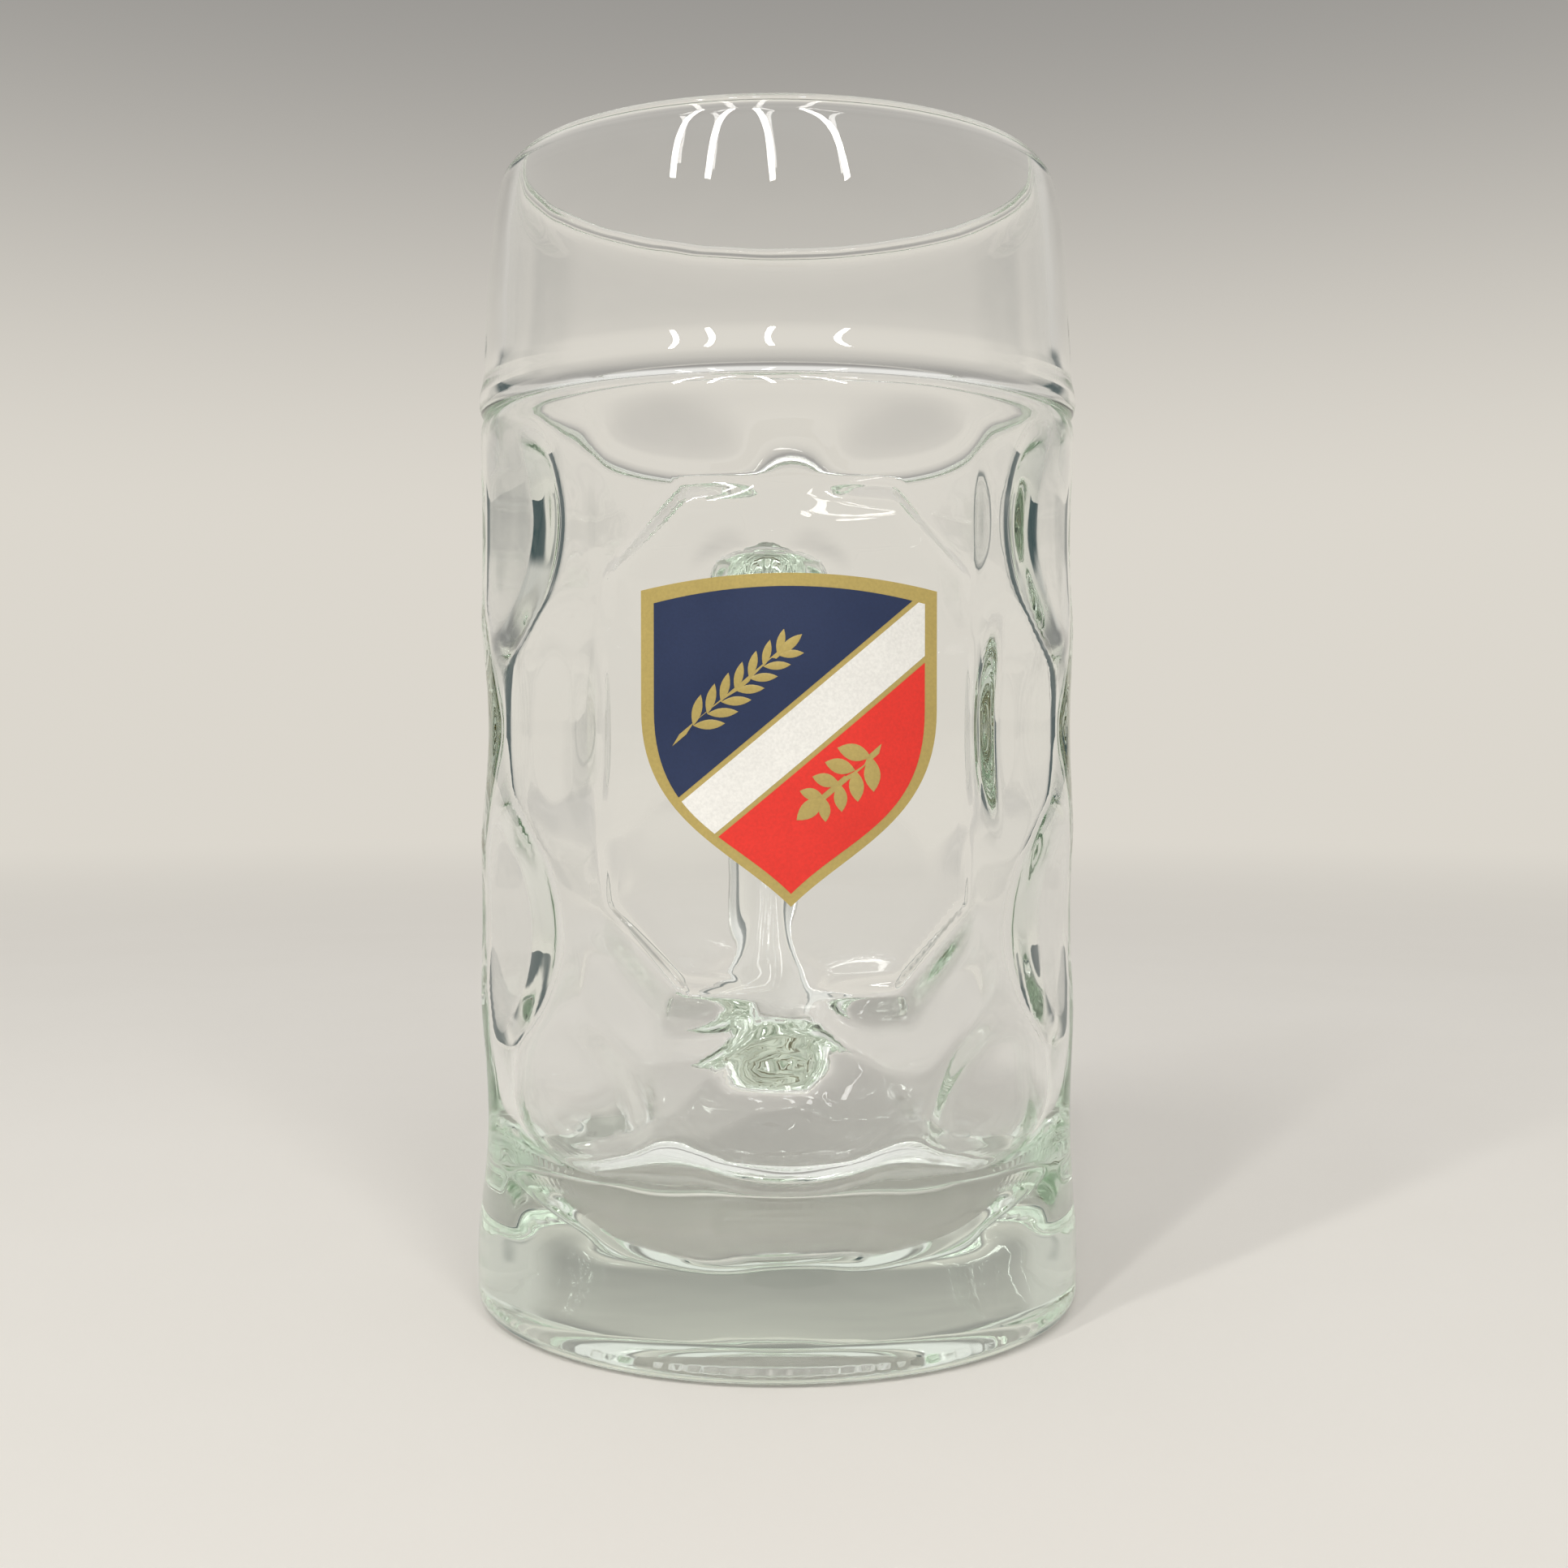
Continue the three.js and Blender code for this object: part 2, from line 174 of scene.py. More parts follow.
# Studio
FLOOR_COLOUR = (0.9, 0.87, 0.81)
FLOOR_MOTTLE = (0.93, 0.9, 0.845)
BACKDROP_LOW = (0.715, 0.68, 0.615)
BACKDROP_HIGH = (0.3, 0.29, 0.275)
ROOM_SIDE = (0.045, 0.075, 0.08)
ROOM_FRONT = (0.6, 0.575, 0.53)
ROOM_HIGH = (0.6, 0.58, 0.54)
CEILING = (0.85, 0.84, 0.81)
SOFT_FILL = (0.42, 0.415, 0.41)

# Where the studio's colours change: by distance on the floor, by height, or by how far behind the mug
FLOOR_RADIUS = 6
FLOOR_DROP = 0.0002
FLOOR_FADE = (0.25, 1.5)
BACKDROP_RISE = (0.1, 0.42)
CEILING_RISE = (0.45, 0.65)
SIDE_RISE = (0.16, 0.22)
ROOM_RISE = (0.11, 0.18)
BACKDROP_SIDE = (0.74, 0.84)
SIDE_EDGE = (0.6, 0.68)
FRONT_EDGE = (0.45, 0.15)

# Strip lamps, each by the turn of its upper and its lower end from straight in front
LAMP_DISTANCE = 2.0
LAMP_TOP = 56
LAMP_BOTTOM = 26
LAMP_WIDTH = 0.075
LAMP_GLOW = 26.0
LAMP_COLOUR = (1.0, 0.985, 0.96)
STRIP_LAMPS = ((-43, -43), (-26, -29), (-14, -4), (10, 25))

# Camera, as the photograph was taken
CAMERA_DISTANCE = 0.3337
CAMERA_HEIGHT = 0.1008
CAMERA_TURN = math.radians(-2.2)
CAMERA_PAN = math.radians(-0.2)
CAMERA_TILT = math.radians(-1.55)
CAMERA_LENS = 42.18


def at(radius, height):
    return Vector((radius, height))


def row_height(row):
    """Middle of a row of dimples, counted from the top row down."""
    return WALL_TOP - DIMPLE_RADIUS - row * ROW_PITCH


def wall_radius(height):
    """Radius of the plain wall between the foot and the shoulder."""
    return WALL_RADIUS + WALL_TAPER * (WALL_TOP - height) / DIMPLED_HEIGHT


def run(start, end, steps):
    """Even points along a straight stretch, without its first point."""
    return [start.lerp(end, step / steps) for step in range(1, steps + 1)]


def bend(start, pull, end, steps):
    """Points along a bend that is pulled towards a corner, without its first point."""
    shares = [step / steps for step in range(1, steps + 1)]
    return [start * (1 - s) ** 2 + pull * (2 * s * (1 - s)) + end * s ** 2 for s in shares]


def curve(start, pull, push, end, steps):
    """Points along a curve with two pulls, without its first point."""
    points = []
    for step in range(1, steps + 1):
        s = step / steps
        points.append(
            start * (1 - s) ** 3
            + pull * (3 * s * (1 - s) ** 2)
            + push * (3 * s * s * (1 - s))
            + end * s ** 3
        )
    return points


def smooth_step(low, high, value):
    share = np.clip((value - low) / (high - low), 0, 1)
    return share * share * (3 - 2 * share)


def soft_positive(value, softness):
    """The value where it is above nought, running out softly below."""
    return (value + np.sqrt(value * value + softness * softness)) / 2


def begin(name):
    """A new mesh that is one point at the origin, left in edit mode with the point selected."""
    bpy.ops.object.select_all(action="DESELECT")
    bpy.ops.mesh.primitive_plane_add(size=0.01)
    piece = bpy.context.object
    piece.name = name
    piece.data.name = name
    bpy.ops.object.mode_set(mode="EDIT")
    bpy.ops.mesh.merge(type="CENTER")
    return piece


def draw(points):
    """Draws a line by extruding the selected point, which is at the origin, from place to place."""
    bpy.ops.transform.translate(value=points[0])
    for start, end in zip(points, points[1:]):
        bpy.ops.mesh.extrude_region_move(TRANSFORM_OT_translate={"value": end - start})


def finish_mesh():
    """Merges doubles, turns the faces outwards and leaves edit mode."""
    bpy.ops.mesh.select_all(action="SELECT")
    bpy.ops.mesh.remove_doubles(threshold=0.000002)
    bpy.ops.mesh.normals_make_consistent(inside=False)
    bpy.ops.object.mode_set(mode="OBJECT")


def points_of(piece):
    flat = np.empty(len(piece.data.vertices) * 3)
    piece.data.vertices.foreach_get("co", flat)
    return flat.reshape(-1, 3)


def move_points(piece, points):
    piece.data.vertices.foreach_set("co", points.ravel())
    piece.data.update()


# Glass

def foot_profile():
    bearing_outer = FOOT_RADIUS - HEEL_ROUND
    bearing_inner = bearing_outer - BEARING_WIDTH
    middle = at(0, RECESS_DEPTH)
    recess_edge = at(bearing_inner - RECESS_SLOPE, RECESS_DEPTH)
    ring_start = at(bearing_inner, 0)
    heel_start = at(bearing_outer, 0)
    heel_end = at(FOOT_RADIUS, HEEL_ROUND)
    foot_top = at(FOOT_RADIUS, FOOT_HEIGHT - FOOT_BLEND)
    wall_start = at(wall_radius(FOOT_HEIGHT), FOOT_HEIGHT)
    return [
        middle,
        *run(middle, recess_edge, 3),
        *run(recess_edge, ring_start, 2),
        *run(ring_start, heel_start, 4),
        *bend(heel_start, at(FOOT_RADIUS, 0), heel_end, 7),
        *run(heel_end, foot_top, 5),
        *bend(foot_top, at(FOOT_RADIUS, FOOT_HEIGHT - FOOT_BLEND / 2), wall_start, 4),
    ]


def bead_profile():
    shoulder = at(WALL_RADIUS, WALL_TOP)
    groove = at(WALL_RADIUS - GROOVE_DEPTH, BEAD_BOTTOM)
    crest_radius = WALL_RADIUS + BEAD_SWELL
    crest = at(crest_radius, (BEAD_BOTTOM + LIP_BOTTOM) / 2)
    lip_start = lip_outside(0)
    lip_pull = lip_start - (lip_outside(0.01) - lip_start).normalized() * LIP_BLEND / 2
    return [
        *bend(shoulder, at(WALL_RADIUS, BEAD_BOTTOM), groove, 7),
        *bend(groove, at(crest_radius, BEAD_BOTTOM), crest, 6),
        *curve(crest, crest + at(0, LIP_BLEND / 3), lip_pull, lip_start, 8),
    ]


def lip_outside(share):
    """Outside of the lip, from the end of the bead's blend to the rim."""
    rim_height = MUG_HEIGHT - RIM_ROUND
    start = at(LIP_RADIUS, LIP_BOTTOM)
    pull = at(LIP_TOP_RADIUS, rim_height)
    end = at(RIM_RADIUS + RIM_ROUND, rim_height)
    first = LIP_BLEND / 2 / (2 * (rim_height - LIP_BOTTOM))
    s = first + share * (1 - first)
    return start * (1 - s) ** 2 + pull * (2 * s * (1 - s)) + end * s ** 2


def lip_profile():
    rim_height = MUG_HEIGHT - RIM_ROUND
    inner_rim = at(RIM_RADIUS - RIM_ROUND, rim_height)
    inner_end = at(LIP_INNER_RADIUS, LIP_BOTTOM)
    inner_pull = at(LIP_TOP_RADIUS - (LIP_RADIUS - LIP_INNER_RADIUS), rim_height)
    rim = []
    for step in range(1, 11):
        turn = math.pi * step / 10
        rim.append(at(RIM_RADIUS + RIM_ROUND * math.cos(turn), rim_height + RIM_ROUND * math.sin(turn)))
    return [
        *[lip_outside(step / 22) for step in range(1, 23)],
        *rim,
        *bend(inner_rim, inner_pull, inner_end, 16),
    ]


def inside_profile():
    top = at(LIP_INNER_RADIUS, LIP_BOTTOM)
    half_way = LIP_BOTTOM - INNER_SHOULDER / 2
    middle = at((LIP_INNER_RADIUS + INNER_RADIUS) / 2, half_way)
    bottom = at(INNER_RADIUS, LIP_BOTTOM - INNER_SHOULDER)
    bowl_top = at(INNER_RADIUS, FLOOR_HEIGHT + BOWL_HEIGHT)
    bowl_side = bowl_top - at(0, BOWL_SIDE_DROP)
    bowl_flat = at(BOWL_FLAT_REACH, FLOOR_HEIGHT)
    return [
        *bend(top, at(LIP_INNER_RADIUS, half_way + INNER_SHOULDER / 4), middle, 5),
        *bend(middle, at(INNER_RADIUS, half_way - INNER_SHOULDER / 4), bottom, 5),
        *run(bottom, bowl_top, 76),
        *curve(bowl_top, bowl_side, bowl_flat, at(0, FLOOR_HEIGHT), 24),
    ]


def dimple_depth(turn, height, radius, wall, softness):
    """How far the dimples press in on the outside, or on the inside where a thickness of wall is given."""
    drum = (DIMPLE_RADIUS ** 2 + DIMPLE_DEPTH ** 2) / (2 * DIMPLE_DEPTH)
    step = 2 * math.pi / DIMPLES_PER_ROW
    depth = np.zeros_like(turn)
    for row in range(DIMPLE_ROWS):
        rise = np.clip(height - row_height(row), -drum, drum)
        offset = (row + 1) % 2 * step / 2
        aside = (turn - offset + step / 2) % step - step / 2
        middle = wall_radius(row_height(row)) - DIMPLE_DEPTH + drum
        pressed = middle - np.sqrt((drum + wall) ** 2 - rise ** 2)
        depth = np.maximum(depth, soft_positive(radius - pressed / np.cos(aside), softness))
    return depth


def panel_distance(across, height):
    """Distance outside the label panel's outline in the front view, below nought inside it."""
    side = np.abs(across) - PANEL_WIDTH / 2
    end = np.abs(height - PANEL_CENTRE) - PANEL_HEIGHT / 2
    slope = math.hypot(PANEL_CORNER_WIDTH, PANEL_CORNER_HEIGHT)
    reach = PANEL_CORNER_WIDTH * PANEL_CORNER_HEIGHT / slope
    corner = side * PANEL_CORNER_HEIGHT / slope + end * PANEL_CORNER_WIDTH / slope + reach
    return np.maximum(np.maximum(side, end), corner)


def open_wall(across, depth_along, height, panel):
    """One where the wall may be pressed, nought on the panel in front and under the roots behind."""
    upper = np.hypot(across / UPPER_PAD[0], (height - UPPER_ROOT) / UPPER_PAD[1])
    lower = np.hypot(across / LOWER_PAD[0], (height - LOWER_ROOT) / LOWER_PAD[1])
    pads = smooth_step(1 - PAD_EDGE, 1 + PAD_EDGE, np.minimum(upper, lower))
    return np.where(depth_along < 0, panel, pads)


def bulge_growth(across, height):
    """Growth of the bulges inside beside the panel, gentlest at its left side."""
    beside = panel_distance(across, np.minimum(height, PANEL_CENTRE))
    middle = 1 - smooth_step(*PANEL_MIDDLE, np.abs(height - PANEL_CENTRE))
    start = -middle * np.where(across < 0, BULGE_START_LEFT, BULGE_START_RIGHT)
    end = BULGE_FADE - middle * np.where(across < 0, 0, BULGE_START_RIGHT)
    return smooth_step(start, end, beside)


def press_dimples(piece):
    """Presses the dimples through the turned wall, so that they bulge inside, and knurls the foot."""
    points = points_of(piece)
    across, along, height = points.T
    radius = np.hypot(across, along)
    turn = np.arctan2(across, -along)
    on_wall = (height > FOOT_HEIGHT - FOOT_BLEND) & (height < WALL_TOP + SHOULDER_HEIGHT)
    outside = on_wall & (radius > (WALL_RADIUS + INNER_RADIUS) / 2)
    in_cavity = (height > FLOOR_HEIGHT) & (height < LIP_BOTTOM)
    inside = in_cavity & (radius < (WALL_RADIUS + INNER_RADIUS) / 2)
    pressed = dimple_depth(turn, height, radius, 0, DIMPLE_SOFTNESS)
    followed = dimple_depth(turn, height, radius, WALL_THICKNESS + BULGE_SWELL, BULGE_SOFTNESS)
    beside = panel_distance(across, height)
    pressed *= open_wall(across, along, height, smooth_step(-PANEL_EDGE / 2, PANEL_EDGE / 2, beside))
    followed *= open_wall(across, along, height, bulge_growth(across, height))
    followed *= 1 - smooth_step(WALL_TOP - BULGE_FADE, WALL_TOP + BULGE_FADE / 2, height)
    moved = radius - np.where(outside, pressed, 0) - np.where(inside, followed, 0)
    scale = np.divide(moved, radius, out=np.ones_like(radius), where=radius > 0)
    points[:, 0] *= scale
    points[:, 1] *= scale
    bearing_outer = FOOT_RADIUS - HEEL_ROUND
    on_ring = (height < RECESS_DEPTH / 4) & (radius < bearing_outer - KNURL_MARGIN)
    ridge = (1 - np.cos(turn * KNURL_RIDGES)) / 2
    points[:, 2] += np.where(on_ring, KNURL_DEPTH * ridge, 0)
    move_points(piece, points)


def handle_bar():
    """The handle as a bar along its middle line, both ends set into the wall."""
    upper = wall_radius(UPPER_ROOT)
    lower = wall_radius(LOWER_ROOT)
    stations = [
        (upper - ROOT_INSET, UPPER_ROOT, UPPER_SWELL),
        (upper + ROOT_FLARE, UPPER_ROOT + THUMB_RISE, 1),
        (HANDLE_OUTER - UPPER_SHOULDER, UPPER_ROOT + THUMB_RISE / 2, 1),
        (HANDLE_OUTER - GRIP_BOW, UPPER_ROOT - UPPER_SHOULDER, 1),
        (HANDLE_OUTER, (UPPER_ROOT + LOWER_ROOT) / 2, 1),
        (HANDLE_OUTER - LOWER_SHOULDER / 2, LOWER_ROOT + LOWER_SHOULDER, 1),
        (lower + ROOT_FLARE, LOWER_ROOT + LOWER_SHOULDER / 4, LOWER_NECK_SWELL),
        (lower - ROOT_INSET, LOWER_ROOT, LOWER_SWELL),
    ]
    bpy.ops.object.select_all(action="DESELECT")
    bpy.ops.curve.primitive_bezier_curve_add()
    bar = bpy.context.object
    bar.name = "handle_bar"
    line = bar.data.splines[0]
    line.bezier_points.add(len(stations) - 2)
    for point, (along, height, swell) in zip(line.bezier_points, stations):
        point.co = (0, along, height)
        point.handle_left_type = "AUTO"
        point.handle_right_type = "AUTO"
        point.radius = swell
    line.radius_interpolation = "EASE"
    bar.data.dimensions = "3D"
    bar.data.twist_mode = "MINIMUM"
    bar.data.resolution_u = 9
    bar.data.bevel_depth = HANDLE_THICKNESS / 2
    bar.data.bevel_resolution = 7
    bar.data.use_fill_caps = True
    bpy.ops.object.convert(target="MESH")
    bar = bpy.context.object
    bpy.ops.object.mode_set(mode="EDIT")
    bpy.ops.mesh.select_all(action="SELECT")
    bpy.ops.transform.resize(value=(HANDLE_WIDTH / HANDLE_THICKNESS, 1, 1), center_override=(0, 0, 0))
    finish_mesh()
    points = points_of(bar)
    press_root(points, UPPER_ROOT, upper, 4, 0, UPPER_FLATNESS)
    press_root(points, LOWER_ROOT, lower, 6, math.pi / 6, LOWER_FLATNESS)
    crimp_lower_root(points, lower)
    move_points(bar, points)
    return bar


def press_root(points, root, wall, corners, first_corner, flatness):
    """Squeezes the bar's end into a flattened block with rounded corners."""
    rise = points[:, 2] - root
    here = np.abs(rise) < ROOT_REACH
    near = here * (1 - smooth_step(*ROOT_PRESS, points[:, 1] - wall))
    around = np.arctan2(rise / HANDLE_THICKNESS, points[:, 0] / HANDLE_WIDTH)
    quarter = corners * (around + first_corner) / 4
    power = ROOT_SQUARENESS
    block = (np.abs(np.cos(quarter)) ** power + np.abs(np.sin(quarter)) ** power) ** (-1 / power)
    points[:, 0] *= 1 + near * (block - 1)
    points[:, 2] = root + rise * (1 + near * (block * flatness - 1))


def crimp_lower_root(points, wall):
    """Pinches the rim of the lower root where the tongs gripped its sides."""
    rise = points[:, 2] - LOWER_ROOT
    here = np.abs(rise) < ROOT_REACH
    near = here * (1 - smooth_step(*CRIMP_REACH, points[:, 1] - wall))
    around = np.arctan2(rise / HANDLE_THICKNESS, points[:, 0] / HANDLE_WIDTH)
    points[:, 0] *= 1 + CRIMP_DEPTH * near * np.cos(CRIMPS * around)


def weld(piece, other):
    """Joins another closed mesh into a piece as one solid."""
    bpy.ops.object.select_all(action="DESELECT")
    piece.select_set(True)
    bpy.context.view_layer.objects.active = piece
    bpy.ops.object.modifier_add(type="BOOLEAN")
    join = piece.modifiers[-1]
    join.operation = "UNION"
    join.solver = "MANIFOLD"
    join.object = other
    bpy.ops.object.modifier_apply(modifier=join.name)
    bpy.data.objects.remove(other)


def soften_roots(piece):
    """Rounds the crease where the handle's two roots meet the wall."""
    bpy.ops.object.mode_set(mode="EDIT")
    bpy.ops.mesh.select_mode(type="VERT")
    bpy.ops.mesh.select_all(action="DESELECT")
    bpy.ops.object.mode_set(mode="OBJECT")
    points = points_of(piece)
    out = np.hypot(points[:, 0], points[:, 1]) - wall_radius(points[:, 2])
    reach = ROOT_FLARE + CREASE_MARGIN
    at_root = (np.abs(points[:, 2] - UPPER_ROOT) < reach) | (np.abs(points[:, 2] - LOWER_ROOT) < reach)
    behind = (points[:, 1] > 0) & (np.abs(points[:, 0]) < ROOT_FLARE)
    crease = at_root & behind & (np.abs(out) < CREASE_REACH)
    piece.data.vertices.foreach_set("select", crease)
    bpy.ops.object.mode_set(mode="EDIT")
    bpy.ops.mesh.vertices_smooth(factor=0.5, repeat=6)
    finish_mesh()


def mug_glass():
    profile = [
        *foot_profile(),
        *run(at(wall_radius(FOOT_HEIGHT), FOOT_HEIGHT), at(WALL_RADIUS, WALL_TOP), WALL_STEPS),
        *bead_profile(),
        *lip_profile(),
        *inside_profile(),
    ]
    piece = begin("mug_glass")
    draw([Vector((radius, 0, height)) for radius, height in profile])
    bpy.ops.mesh.select_all(action="SELECT")
    bpy.ops.mesh.spin(
        steps=ROUND_STEPS, angle=2 * math.pi, center=(0, 0, 0), axis=(0, 0, 1), use_auto_merge=True
    )
    finish_mesh()
    press_dimples(piece)
    weld(piece, handle_bar())
    soften_roots(piece)
    bpy.ops.object.shade_smooth()
    return piece


# Print

def shield_outline(inset):
    """Outline of the shield in the front view, drawn in by an inset all round."""
    side = SHIELD_WIDTH / 2 - inset
    top = PANEL_CENTRE + SHIELD_HEIGHT / 2 - SHIELD_CROWN - inset
    waist = PANEL_CENTRE + SHIELD_HEIGHT / 2 - SHIELD_STRAIGHT
    tip = PANEL_CENTRE - SHIELD_HEIGHT / 2 + inset
    right = at(side, waist)
    left = at(-side, waist)
    point = at(0, tip)
    return [
        at(side, top),
        *bend(at(side, top), at(0, top + SHIELD_CROWN * 2), at(-side, top), 24),
        left,
        *curve(left, at(-side, waist - SHIELD_BELLY), at(-SHIELD_POINT, tip + SHIELD_POINT), point, 28),
        *curve(point, at(SHIELD_POINT, tip + SHIELD_POINT), at(side, waist - SHIELD_BELLY), right, 28),
    ]


def flat_film(name, outline):
    """A flat face in the front view, left in edit mode."""
    piece = begin(name)
    draw([Vector((across, 0, height)) for across, height in outline])
    bpy.ops.mesh.select_all(action="SELECT")
    bpy.ops.mesh.edge_face_add()
    return piece


def cut_along_band(distance, keep_above):
    """Cuts the flat face along a line beside the band and keeps one side."""
    square = Vector((-math.sin(BAND_SLOPE), 0, math.cos(BAND_SLOPE)))
    place = Vector((0, 0, PANEL_CENTRE)) + square * distance
    bpy.ops.mesh.select_all(action="SELECT")
    bpy.ops.mesh.bisect(plane_co=place, plane_no=square, clear_inner=keep_above, clear_outer=not keep_above)


def wrap_film(piece, layer):
    """Cuts the flat face into strips, gives it its thickness and lays it round the wall."""
    strips = round(SHIELD_WIDTH / STRIP_WIDTH)
    for strip in range(1, strips):
        bpy.ops.mesh.select_all(action="SELECT")
        place = (strip / strips - 0.5) * SHIELD_WIDTH
        bpy.ops.mesh.bisect(plane_co=(place, 0, 0), plane_no=(1, 0, 0))
    bpy.ops.mesh.select_all(action="SELECT")
    thicken(film_back(layer), INK_BITE + INK_STEP * (layer + 1))
    finish_mesh()
    lay_on_wall(piece)
    bpy.ops.object.shade_smooth_by_angle(angle=math.radians(30))
    return piece


def thicken(back, front):
    """Moves the selected flat face out to the film's back and extrudes it to the film's front."""
    bpy.ops.transform.translate(value=(0, -back, 0))
    bpy.ops.mesh.extrude_region_move(TRANSFORM_OT_translate={"value": (0, back - front, 0)})


def film_back(layer):
    """How far out a film starts, the first in the glass and each further one inside the film below."""
    return INK_BITE + INK_STEP * (layer - 0.5) if layer else 0


def lay_on_wall(piece):
    """Lays a flat film, whose back is at nought along Y, round the wall, biting a little into the glass."""
    points = points_of(piece)
    across, along, height = points.T
    radius = wall_radius(height) - INK_BITE - along
    points[:, 1] = -np.sqrt(radius ** 2 - across ** 2)
    move_points(piece, points)


def gold_ground():
    piece = flat_film("shield_gold_ground", shield_outline(0))
    return wrap_film(piece, 0)


def navy_field():
    piece = flat_film("shield_navy_field", shield_outline(SHIELD_BORDER))
    cut_along_band(BAND_WIDTH / 2 + KEYLINE, True)
    return wrap_film(piece, 1)


def red_field():
    piece = flat_film("shield_red_field", shield_outline(SHIELD_BORDER))
    cut_along_band(-BAND_WIDTH / 2 - KEYLINE, False)
    return wrap_film(piece, 1)


def white_band():
    piece = flat_film("shield_white_band", shield_outline(SHIELD_BORDER))
    cut_along_band(-BAND_WIDTH / 2, True)
    cut_along_band(BAND_WIDTH / 2, False)
    return wrap_film(piece, 1)


def grain(name, length, width):
    """A pointed grain lying flat with its foot at the origin and its tip along X, swelling to a ridge."""
    foot = at(0, 0)
    tip = at(length, 0)
    outline = [
        *bend(foot, at(length / 2, width), tip, 8),
        *bend(tip, at(length / 2, -width), foot, 8),
    ]
    piece = flat_film(name, outline)
    bpy.ops.mesh.select_all(action="SELECT")
    thicken(film_back(2), INK_BITE + INK_STEP * GRAIN_RISE)
    bpy.ops.mesh.inset(thickness=width * GRAIN_BEVEL, depth=0)
    bpy.ops.transform.translate(value=(0, -INK_STEP, 0))
    finish_mesh()
    return piece


def sprig(name, pairs, pitch, length, width, spread, stem, stem_width, taper, gap, facing):
    """Grains in pairs along a stem, with one more at its tip, lying beside the band."""
    whole = stem + pairs * pitch + length
    start = stem - whole / 2
    places = []
    for pair in range(pairs):
        scale = 1 - taper * pair / pairs
        places.append((start + pair * pitch, spread, scale))
        places.append((start + pair * pitch, -spread, scale))
    places.append((start + (pairs - 1) * pitch, 0, 1))
    first = grain(name, length, width)
    shape = points_of(first)
    copies = []
    for distance, lean, scale in places:
        bpy.ops.object.select_all(action="DESELECT")
        first.select_set(True)
        bpy.context.view_layer.objects.active = first
        bpy.ops.object.duplicate(linked=False)
        copy = bpy.context.object
        turned = shape * (scale, 1, scale)
        cosine, sine = math.cos(lean), math.sin(lean)
        across = turned[:, 0] * cosine - turned[:, 2] * sine + distance
        rise = turned[:, 0] * sine + turned[:, 2] * cosine
        move_points(copy, np.stack([across, turned[:, 1], rise], axis=1))
        copies.append(copy)
    bpy.data.objects.remove(first)
    half = stem_width / 2
    stem_end = start + pairs * pitch
    stalk = flat_film(name, [
        at(start - stem, -half),
        *run(at(start - stem, -half), at(stem_end, -half), 12),
        at(stem_end, half),
        *run(at(stem_end, half), at(start - stem, half), 12),
    ][:-1])
    bpy.ops.mesh.select_all(action="SELECT")
    thicken(film_back(2), INK_BITE + INK_STEP * STEM_RISE)
    finish_mesh()
    for copy in copies:
        copy.select_set(True)
    stalk.select_set(True)
    bpy.context.view_layer.objects.active = stalk
    bpy.ops.object.join()
    points = points_of(stalk)
    aside = math.copysign(BAND_WIDTH / 2 + KEYLINE, gap) + gap
    turn = math.radians(facing)
    across = points[:, 0] * math.cos(turn) - points[:, 2] * math.sin(turn)
    rise = points[:, 0] * math.sin(turn) + points[:, 2] * math.cos(turn) + aside
    points[:, 0] = across * math.cos(BAND_SLOPE) - rise * math.sin(BAND_SLOPE)
    points[:, 2] = across * math.sin(BAND_SLOPE) + rise * math.cos(BAND_SLOPE) + PANEL_CENTRE
    move_points(stalk, points)
    lay_on_wall(stalk)
    bpy.ops.object.shade_smooth_by_angle(angle=math.radians(30))
    stalk.name = name
    return stalk


def gold_barley():
    return sprig(
        "shield_gold_barley", pairs=7, pitch=0.0028, length=0.0049, width=0.0015, spread=math.radians(36),
        stem=0.0045, stem_width=0.0007, taper=0.2, gap=0.007, facing=0,
    )


def gold_hop():
    return sprig(
        "shield_gold_hop", pairs=4, pitch=0.0032, length=0.0054, width=0.0026, spread=math.radians(55),
        stem=0.0026, stem_width=0.0009, taper=0.4, gap=-0.0056, facing=180,
    )


# Materials

def blend(tree, share, low, high):
    """Mixes two colours, each given as a colour or as a socket."""
    mix = tree.nodes.new("ShaderNodeMix")
    mix.data_type = "RGBA"
    tree.links.new(share, mix.inputs[0])
    for socket, colour in ((mix.inputs[6], low), (mix.inputs[7], high)):
        if isinstance(colour, tuple):
            socket.default_value = (*colour, 1)
        else:
            tree.links.new(colour, socket)
    return mix.outputs[2]


def ramp(tree, value, start, end):
    """Runs softly from nought to one while a value goes from start to end."""
    spread = tree.nodes.new("ShaderNodeMapRange")
    spread.interpolation_type = "SMOOTHSTEP"
    spread.inputs["From Min"].default_value = start
    spread.inputs["From Max"].default_value = end
    tree.links.new(value, spread.inputs["Value"])
    return spread.outputs["Result"]


def work_out(tree, operation, first, second):
    step = tree.nodes.new("ShaderNodeMath")
    step.operation = operation
    for socket, value in zip(step.inputs, (first, second)):
        if isinstance(value, (int, float)):
            socket.default_value = value
        else:
            tree.links.new(value, socket)
    return step.outputs[0]


def new_material(name):
    material = bpy.data.materials.new(name)
    material.use_nodes = True
    nodes = material.node_tree.nodes
    return material, nodes, material.node_tree.links, nodes["Principled BSDF"]


